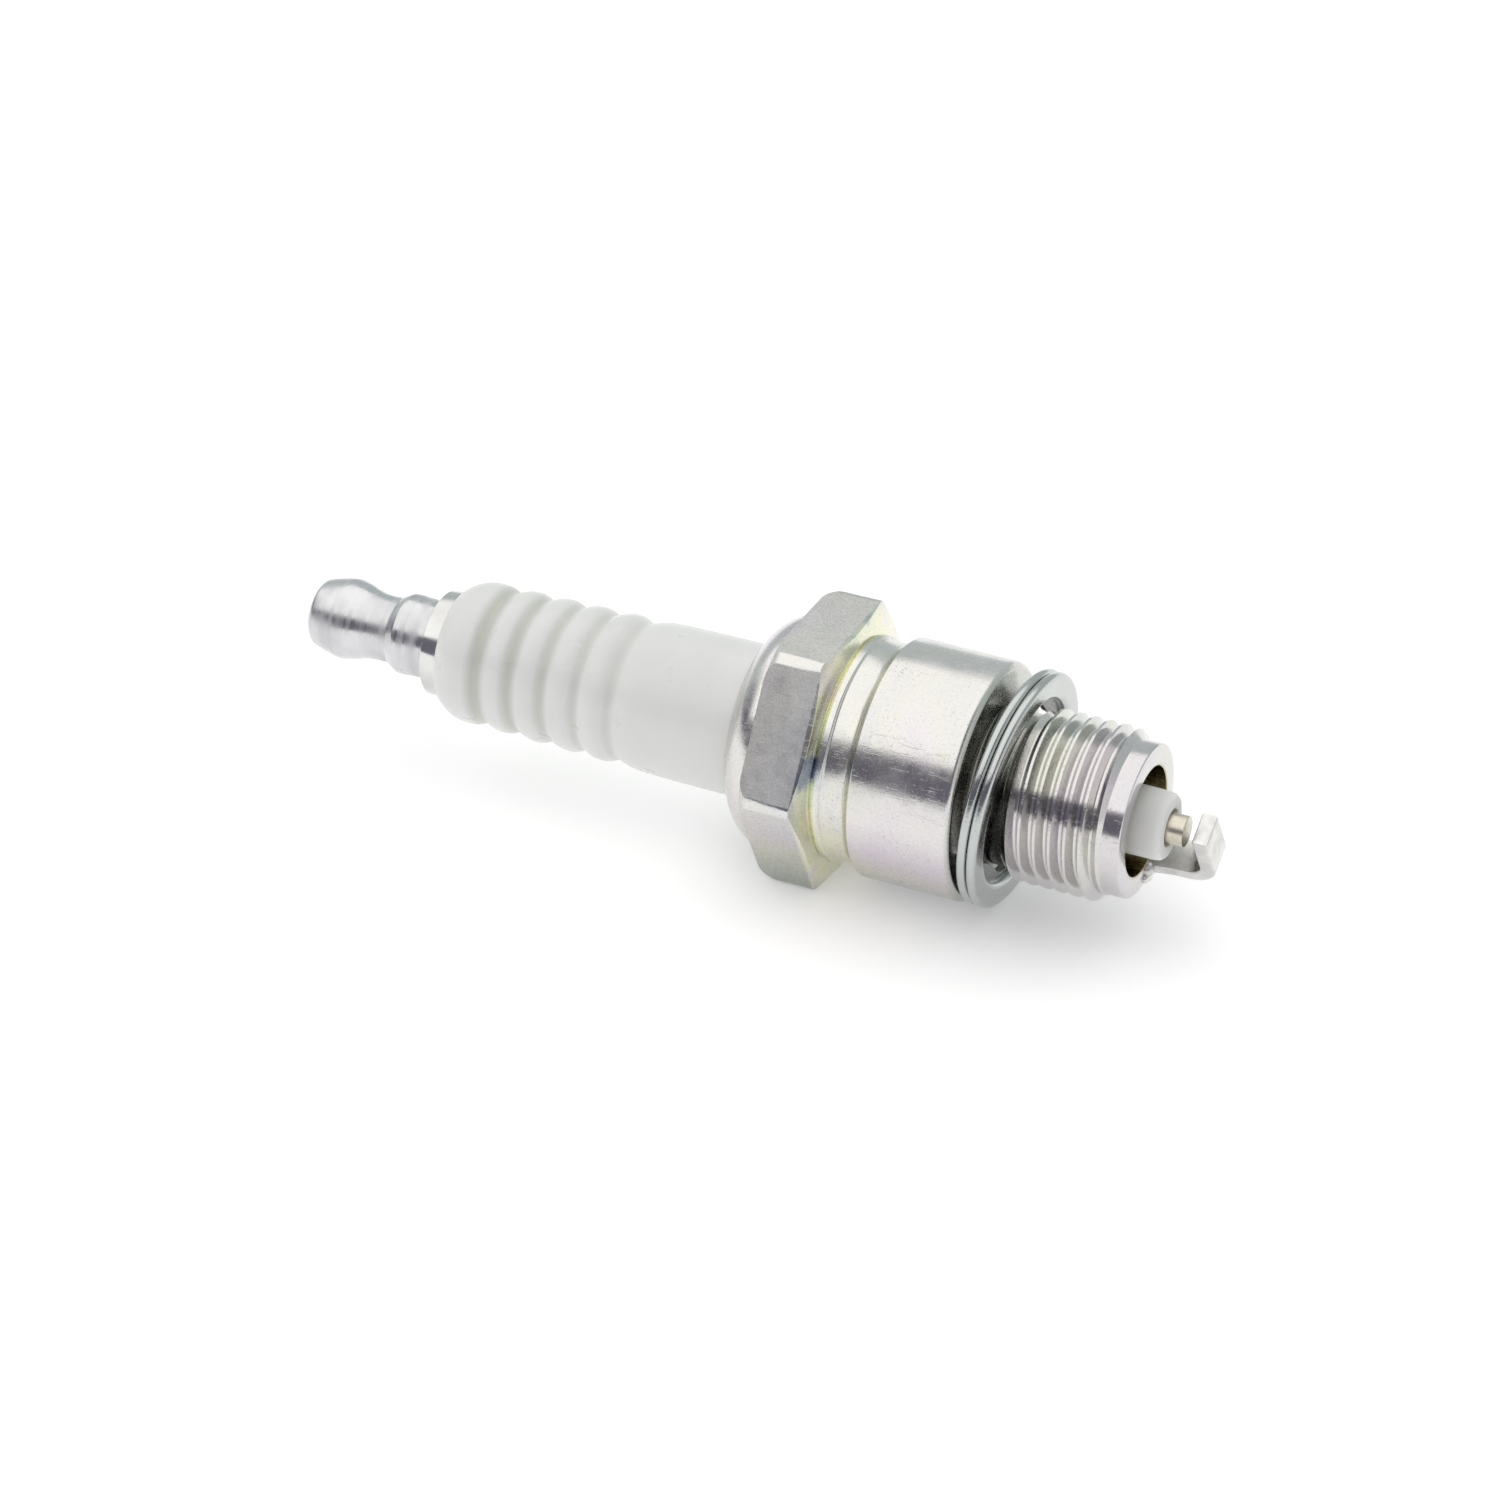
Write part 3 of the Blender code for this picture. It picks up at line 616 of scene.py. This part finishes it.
class Finish(Nodes):
    """A node material with one Principled shader, and masks that are placed in millimetres."""

    def __init__(self, name, metallic, roughness):
        self.material = bpy.data.materials.new(name)
        self.material.use_nodes = True
        super().__init__(self.material.node_tree, "Object")
        self.shader = self.tree.nodes["Principled BSDF"]
        self.shader.inputs["Metallic"].default_value = metallic
        self.shader.inputs["Roughness"].default_value = roughness
        self.x, self.y, self.z = self.axes()
        self.normal = None

    def along(self, low, high, to_low=0.0, to_high=1.0):
        """Change from one value to another between two places along the plug's axis."""
        return self.span(self.x, low * MM, high * MM, to_low, to_high)

    def band(self, start, full, fade, end):
        """1 between two places along the plug's axis and 0 elsewhere, with soft edges."""
        return self.times(self.along(start, full), self.along(fade, end, 1.0, 0.0))

    def by_height(self, low, high, to_low=0.0, to_high=1.0):
        return self.span(self.z, low * MM, high * MM, to_low, to_high)

    def near_axis(self, inner, outer, most=1.0):
        """The value most within the inner radius, which fades to 0 at the outer one."""
        square = self.plus(self.times(self.y, self.y), self.times(self.z, self.z))
        return self.span(square, (inner * MM) ** 2, (outer * MM) ** 2, most, 0.0)

    def bump(self, height, distance, strength=1.0):
        """Raise the surface by up to distance, on top of the bumps that are there."""
        node = self.tree.nodes.new("ShaderNodeBump")
        node.inputs["Distance"].default_value = distance * MM
        node.inputs["Strength"].default_value = strength
        self.link(height, node.inputs["Height"])
        if self.normal:
            self.link(self.normal, node.inputs["Normal"])
        self.normal = node.outputs["Normal"]
        self.link(self.normal, self.shader.inputs["Normal"])

    def colour(self, source):
        self.link(source, self.shader.inputs["Base Color"])

    def rough(self, source):
        self.link(source, self.shader.inputs["Roughness"])


# Zinc plate: its bare colour, its pits, the film's hue by thickness, and painted shade by height on the
# plug
ZINC = (0.71, 0.695, 0.70)
PITS = (0.34, 0.32, 0.37)
FILM_HUES = [(0.30, (0.64, 0.67, 0.68)), (0.42, (0.71, 0.70, 0.62)), (0.50, (0.73, 0.70, 0.68)),
             (0.58, (0.70, 0.63, 0.69)), (0.70, (0.62, 0.63, 0.71))]
# Painted shade by height: the shell darker and greener lower down
PAINTED_SHADE_BY_HEIGHT = [(0.0, (0.60, 0.66, 0.63)), (0.25, (0.74, 0.77, 0.72)), (0.45, (0.88, 0.87, 0.81)),
                  (0.65, (0.93, 0.90, 0.95)), (0.9, (1.0, 1.0, 1.0))]
THREAD_FILM = (0.93, 0.945, 0.92)
SPECKLE = [(0.38, (0.74, 0.74, 0.76)), (0.56, (1.0, 1.0, 1.0))]
HEAT_TINTS = [(0.34, (0.22, 0.28, 0.36)), (0.40, (0.74, 0.78, 0.60)), (0.50, (0.86, 0.85, 0.62)),
              (0.58, (0.84, 0.80, 0.70)), (0.68, (0.72, 0.64, 0.72))]
# Painted shade beside the seat, and darker painted shade in the crevice behind the gasket
SEAT_PAINTED_SHADE = (0.46, 0.48, 0.42)
CREVICE_PAINTED_SHADE = (0.13, 0.13, 0.11)
BORE_BROWN = (0.44, 0.39, 0.25)
SHELL_PITS = (0.30, 0.28, 0.33)
GASKET_GREY = (0.44, 0.48, 0.46)
# Painted shade on the gasket's lip inside its hole
GASKET_LIP_PAINTED_SHADE = (0.10, 0.10, 0.09)

# Where the finish changes: in height for the painted shade and the groove's heat tints, and in distance
# from the axis for the end of the hexagon's flats and the painted shade in the crevice behind the gasket
PAINTED_SHADE_Z = (-11.0, 1.0)
TINTED_Z = (-4.0, -0.5)
FLAT_END_R = (11.69, 11.76)
CREVICE_R = (7.1, 7.9)

# Ceramic: its glaze, where along the neck the rib grooves get painted shade, and its few specks
GROOVE_SHADE_X = (-44.9, -44.4, -29.8, -29.0)
GLAZE = [(0.35, (0.775, 0.78, 0.765)), (0.65, (0.805, 0.81, 0.795))]
# Painted shade in the rib grooves
GROOVE_PAINTED_SHADE = (0.54, 0.55, 0.49)
GLAZE_SPECK = (0.45, 0.42, 0.36)


def zinc_finish(name, tint=0.5, rough=(0.14, 0.28)):
    """Bright zinc plate: a thin passivated film whose hue drifts, fine pits, and light scratches.
    Returns the finish, its colour without pits, the mask of the dark pits and its roughness."""
    finish = Finish(name, 1.0, 0.25)
    film_and_painted_shade = finish.noise(95, 2.0, 0.5, stretch=(1.0, 0.6, 0.6), distortion=0.4)
    plain = finish.mix(tint, ZINC, finish.ramp(film_and_painted_shade, FILM_HUES))
    pits = finish.noise(5200, 2.0, 0.6)
    pit_mask = finish.span(pits, 0.60, 0.68)
    patches = finish.span(finish.noise(260, 4.0, 0.6), 0.45, 0.7)
    dark = finish.times(pit_mask, finish.times(patches, 0.6))
    finish.colour(finish.mix(dark, plain, PITS))
    base_rough = finish.span(finish.noise(600, 4.0, 0.6), 0.3, 0.7, *rough)
    roughness = finish.plus(base_rough, finish.times(pit_mask, 0.12))
    finish.rough(roughness)
    scratches = finish.noise(420, 3.0, 0.5, stretch=(1.0, 9.0, 9.0), distortion=1.5)
    finish.bump(finish.noise(6500, 3.0, 0.7), 0.0045, 0.8)
    finish.bump(finish.plus(pits, finish.span(scratches, 0.62, 0.66)), 0.006, 0.5)
    return finish, plain, dark, roughness


def shell_finish():
    """The shell's zinc: painted shade that makes it darker and greener low down, speckled on the hexagon's
    flats, heat-tinted yellow and blue in the groove, painted shade beside the seat and in the crevice
    behind the gasket, and brown in the bore."""
    finish, bare, dark, roughness = zinc_finish("zinc_plate")
    on_thread = finish.along(2.0, 3.0)
    # Painted shade: darker and greener lower down the shell; the thread gets a plain light tint instead
    film_and_painted_shade = finish.mix(on_thread, finish.ramp(finish.by_height(*PAINTED_SHADE_Z), PAINTED_SHADE_BY_HEIGHT), THREAD_FILM)
    tinted = finish.mix(1.0, bare, film_and_painted_shade, "MULTIPLY")
    low_edge = (HEX_LOW_CORNER_X - 0.05, HEX_LOW_CORNER_X + 0.05)
    on_hexagon = finish.band(HEX_TOP_X - 0.1, HEX_TOP_X + 0.1, *low_edge)
    on_flats = finish.times(on_hexagon, finish.near_axis(*FLAT_END_R))
    speckled = finish.mix(1.0, tinted, finish.ramp(finish.noise(6000, 3.0, 0.7), SPECKLE), "MULTIPLY")
    colour = finish.mix(finish.plus(0.25, finish.times(on_flats, 0.5)), tinted, speckled)

    by_hexagon = finish.band(HEX_LOW_CORNER_X - 0.1, HEX_LOW_CORNER_X + 0.35, RIDGE_X, RIDGE_X + 0.35)
    by_barrel = finish.band(RIDGE_X, RIDGE_X + 0.35, BARREL_X - 0.55, BARREL_X + 0.05)
    low_down = finish.by_height(*TINTED_Z, 0.85, 0.12)
    in_groove = finish.plus(by_hexagon, finish.times(by_barrel, low_down))
    heated = finish.ramp(finish.noise(150, 3.0, 0.6, stretch=(1.6, 1.0, 1.0)), HEAT_TINTS)
    colour = finish.mix(finish.times(in_groove, 0.75), colour, heated)

    by_seat = finish.band(-0.45, -0.1, THREAD_X[0] - 0.3, THREAD_X[0] + 0.3)
    # Painted shade beside the seat, darker still in the crevice behind the gasket
    colour = finish.mix(finish.times(by_seat, 0.55), colour, SEAT_PAINTED_SHADE)
    colour = finish.mix(finish.times(by_seat, finish.near_axis(*CREVICE_R, 0.6)), colour, CREVICE_PAINTED_SHADE)
    colour = finish.mix(finish.near_axis(BORE_R, BORE_R * 1.06), colour, BORE_BROWN)
    finish.colour(finish.mix(dark, colour, SHELL_PITS))
    roughness = finish.plus(roughness, finish.times(on_thread, -0.06))
    finish.rough(finish.plus(roughness, finish.times(on_flats, 0.2)))
    return finish.material


def gasket_finish():
    """Duller zinc on a slightly wavy ring, with painted shade on the lip inside its hole."""
    finish, plain, _, _ = zinc_finish("gasket_plate", 0.2, (0.12, 0.24))
    # Painted shade on the lip inside the hole, where it meets the thread
    lip_shade = finish.near_axis(GASKET_HOLE_R - 0.15, GASKET_HOLE_R + 0.02, 0.85)
    finish.colour(finish.mix(lip_shade, finish.mix(0.7, plain, GASKET_GREY), GASKET_LIP_PAINTED_SHADE))
    finish.bump(finish.noise(170, 2.0, 0.5), 0.05)
    return finish.material


def ceramic_finish():
    """White glaze with painted shade in the rib grooves. On the nose the ceramic is matt."""
    finish = Finish("glazed_alumina", 0.0, 0.3)
    shader = finish.shader
    shader.inputs["Subsurface Weight"].default_value = 0.12
    shader.inputs["Subsurface Radius"].default_value = (1.0, 0.9, 0.8)
    shader.inputs["Subsurface Scale"].default_value = 0.6 * MM
    shader.inputs["Specular IOR Level"].default_value = 0.5
    # Painted shade in the rib grooves, darker than the glaze
    groove_shade = finish.times(finish.band(*GROOVE_SHADE_X), finish.near_axis(RIB_R - 0.36, RIB_R - 0.02, 0.85))
    white = finish.mix(groove_shade, finish.ramp(finish.noise(140, 3.0, 0.5), GLAZE), GROOVE_PAINTED_SHADE)
    specks = finish.span(finish.noise(2400, 2.0, 0.5), 0.74, 0.78)
    finish.colour(finish.mix(finish.times(specks, 0.35), white, GLAZE_SPECK))
    glaze = finish.span(finish.noise(350, 3.0, 0.5), 0.3, 0.7, 0.26, 0.36)
    on_nose = finish.along(NOSE_STEP[0], NOSE_STEP[0] + 1.0)
    finish.rough(finish.plus(glaze, finish.times(on_nose, 0.35)))
    finish.bump(finish.noise(1400, 2.0, 0.5), 0.003, 0.3)
    return finish.material


def turned_finish(name, colour, rough=(0.12, 0.25), pitch=5200):
    """Lathe-turned metal: fine rings around the axis, with a little drift between them."""
    finish = Finish(name, 1.0, 0.2)
    around = (1.0, 0.01, 0.01)
    cloud = finish.noise(350, 3.0, 0.5)
    darker = tuple(c * 0.84 for c in colour)
    finish.colour(finish.mix(finish.span(cloud, 0.35, 0.7), colour, darker))
    rings = finish.noise(pitch / 4, 2.0, 0.5, stretch=around)
    worn = finish.plus(finish.times(rings, 0.6), finish.times(cloud, 0.4))
    finish.rough(finish.span(worn, 0.4, 0.6, *rough))
    finish.bump(finish.noise(pitch, 3.0, 0.6, stretch=around), 0.005, 0.6)
    return finish.material


def satin_finish(name, colour):
    """Plain drawn metal with a faint cloud in its colour and gloss."""
    finish = Finish(name, 1.0, 0.3)
    darker = tuple(c * 0.72 for c in colour)
    finish.colour(finish.mix(finish.span(finish.noise(900, 4.0, 0.6), 0.35, 0.75), colour, darker))
    finish.rough(finish.span(finish.noise(1500, 3.0, 0.6), 0.3, 0.7, 0.25, 0.4))
    finish.bump(finish.noise(3200, 4.0, 0.6), 0.006, 0.5)
    return finish.material


def powder_finish(name, colour, rough=0.85):
    """Pressed powder or fused glass: grainy, and not metallic."""
    finish = Finish(name, 0.0, rough)
    grain = 1500
    darker = tuple(c * 0.7 for c in colour)
    finish.colour(finish.mix(finish.span(finish.noise(grain, 4.0, 0.6), 0.35, 0.7), colour, darker))
    finish.rough(finish.span(finish.noise(grain, 2.0, 0.5), 0.3, 0.7, rough - 0.1, rough + 0.05))
    finish.bump(finish.noise(grain * 2, 4.0, 0.6), 0.02, 0.6)
    return finish.material


def wear(piece, material):
    """Give a piece one material in place of those it has."""
    piece.data.materials.clear()
    piece.data.materials.append(material)


def make_pieces():
    """Rebuild the seven pieces that show, and give the six hidden CAD nodes a finish."""
    nut_metal = turned_finish("turned_aluminium", (0.67, 0.67, 0.685), (0.14, 0.44))
    stud_metal = turned_finish("plated_steel", (0.74, 0.74, 0.73), pitch=3500)
    for piece, node, material in (
            (metal_shell(), "metal_shell", shell_finish()),
            (insulator(), "insulator", ceramic_finish()),
            (terminal_nut(), "terminal_nut", nut_metal),
            (terminal_stud(), "terminal_stud", stud_metal),
            (centre_electrode(), "center_electrode", satin_finish("nickel", (0.70, 0.65, 0.55))),
            (ground_electrode(), "ground_electrode", satin_finish("strap_metal", (0.78, 0.77, 0.75))),
            (gasket(), "gasket", gasket_finish())):
        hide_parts(node)
        wear(piece, material)
    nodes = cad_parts
    wire = satin_finish("packing_wire", (0.55, 0.55, 0.55))
    for node, material in (("copper_core", satin_finish("copper", (0.85, 0.45, 0.30))),
                           ("glass_seal", powder_finish("seal_glass", (0.12, 0.13, 0.13), 0.35)),
                           ("talc_ring", powder_finish("talc", (0.85, 0.84, 0.80))),
                           ("upper_packing_ring", wire), ("lower_packing_ring", wire),
                           ("seat_packing", satin_finish("washer", (0.60, 0.60, 0.60)))):
        wear(nodes[node], material)


# ---------------------------------------------------------------- studio

FOCAL_LENGTH = 120.0
SENSOR_WIDTH = 36.0
CLIP = (10.0, 20000.0)
CAMERA_PLACE = Vector((117.65, -315.83, 205.08))
CAMERA_RIGHT = Vector((0.9092, 0.4158, 0.0245))
CAMERA_UP = Vector((-0.2337, 0.4607, 0.8562))
FLOOR_Z = -HEX_FLAT_R - 0.05
FLOOR_HALF_SIDE = 3000.0
FLOOR_WHITE = (0.93, 0.93, 0.93, 1.0)
FLOOR_GLOW = 0.27

# Light from each part of the studio
SOFTBOX = (1.32, 1.31, 1.29)
ROOM_FRONT = (0.16, 0.155, 0.19)
ROOM_BACK = (0.57, 0.62, 0.62)
RIGHT_WALL = (0.84, 0.83, 0.84)

# How steeply the softbox's edges lie before and behind, and where each soft edge starts and ends. They
# are measured along the axes on the unit vector that looks there: x to the right, y back and z up
BOX_FRONT_SLOPE = 0.68
BOX_BACK_SLOPE = 0.95
BOX_FRONT_EDGE = (-0.04, 0.06)
BOX_BACK_EDGE = (-0.06, 0.06)
BOX_LEFT_EDGE = (-0.95, -0.80)
BOX_RIGHT_EDGE = (0.60, 0.35)
BACK_WALL_EDGE = (-0.15, 0.35)
RIGHT_WALL_EDGE = (0.78, 0.92)


def camera():
    lens = bpy.data.cameras.new("camera")
    lens.lens = FOCAL_LENGTH
    lens.sensor_width = SENSOR_WIDTH
    lens.clip_start = CLIP[0] * MM
    lens.clip_end = CLIP[1] * MM
    view = bpy.data.objects.new("camera", lens)
    bpy.context.scene.collection.objects.link(view)
    right = CAMERA_RIGHT.normalized()
    back = right.cross(CAMERA_UP).normalized()
    turn = Matrix((right, back.cross(right), back)).transposed()
    view.matrix_world = Matrix.Translation(CAMERA_PLACE * MM) @ turn.to_4x4()
    bpy.context.scene.camera = view


def floor():
    """A white table that glows a little, so that it stays nearly white under the plug."""
    mesh = bpy.data.meshes.new("floor")
    side, z = FLOOR_HALF_SIDE * MM, FLOOR_Z * MM
    corners = [(-side, -side, z), (side, -side, z), (side, side, z), (-side, side, z)]
    mesh.from_pydata(corners, [], [(0, 1, 2, 3)])
    piece = bpy.data.objects.new("floor", mesh)
    bpy.context.scene.collection.objects.link(piece)
    finish = Finish("pale_floor", 0.0, 0.7)
    finish.shader.inputs["Base Color"].default_value = FLOOR_WHITE
    finish.shader.inputs["Specular IOR Level"].default_value = 0.2
    finish.shader.inputs["Emission Color"].default_value = (1.0, 1.0, 1.0, 1.0)
    finish.shader.inputs["Emission Strength"].default_value = FLOOR_GLOW
    wear(piece, finish.material)


def studio():
    """A wide overhead softbox, a dim room in front, a pale wall behind and a bright one on the right."""
    world = bpy.data.worlds.new("studio")
    bpy.context.scene.world = world
    world.use_nodes = True
    sky = Nodes(world.node_tree, "Generated")
    x, y, z = sky.axes()
    above_front = sky.span(sky.plus(z, sky.times(y, BOX_FRONT_SLOPE)), *BOX_FRONT_EDGE)
    above_back = sky.span(sky.maths("SUBTRACT", z, sky.times(y, BOX_BACK_SLOPE)), *BOX_BACK_EDGE)
    sideways = sky.times(sky.span(x, *BOX_LEFT_EDGE), sky.span(x, *BOX_RIGHT_EDGE))
    room = sky.mix(sky.span(y, *BACK_WALL_EDGE), ROOM_FRONT, ROOM_BACK)
    walls = sky.mix(sky.span(x, *RIGHT_WALL_EDGE), room, RIGHT_WALL)
    light = sky.mix(sky.times(sky.times(above_front, above_back), sideways), walls, SOFTBOX)
    sky.link(light, world.node_tree.nodes["Background"].inputs["Color"])
    bpy.context.scene.view_settings.view_transform = "Standard"


make_pieces()
camera()
floor()
studio()
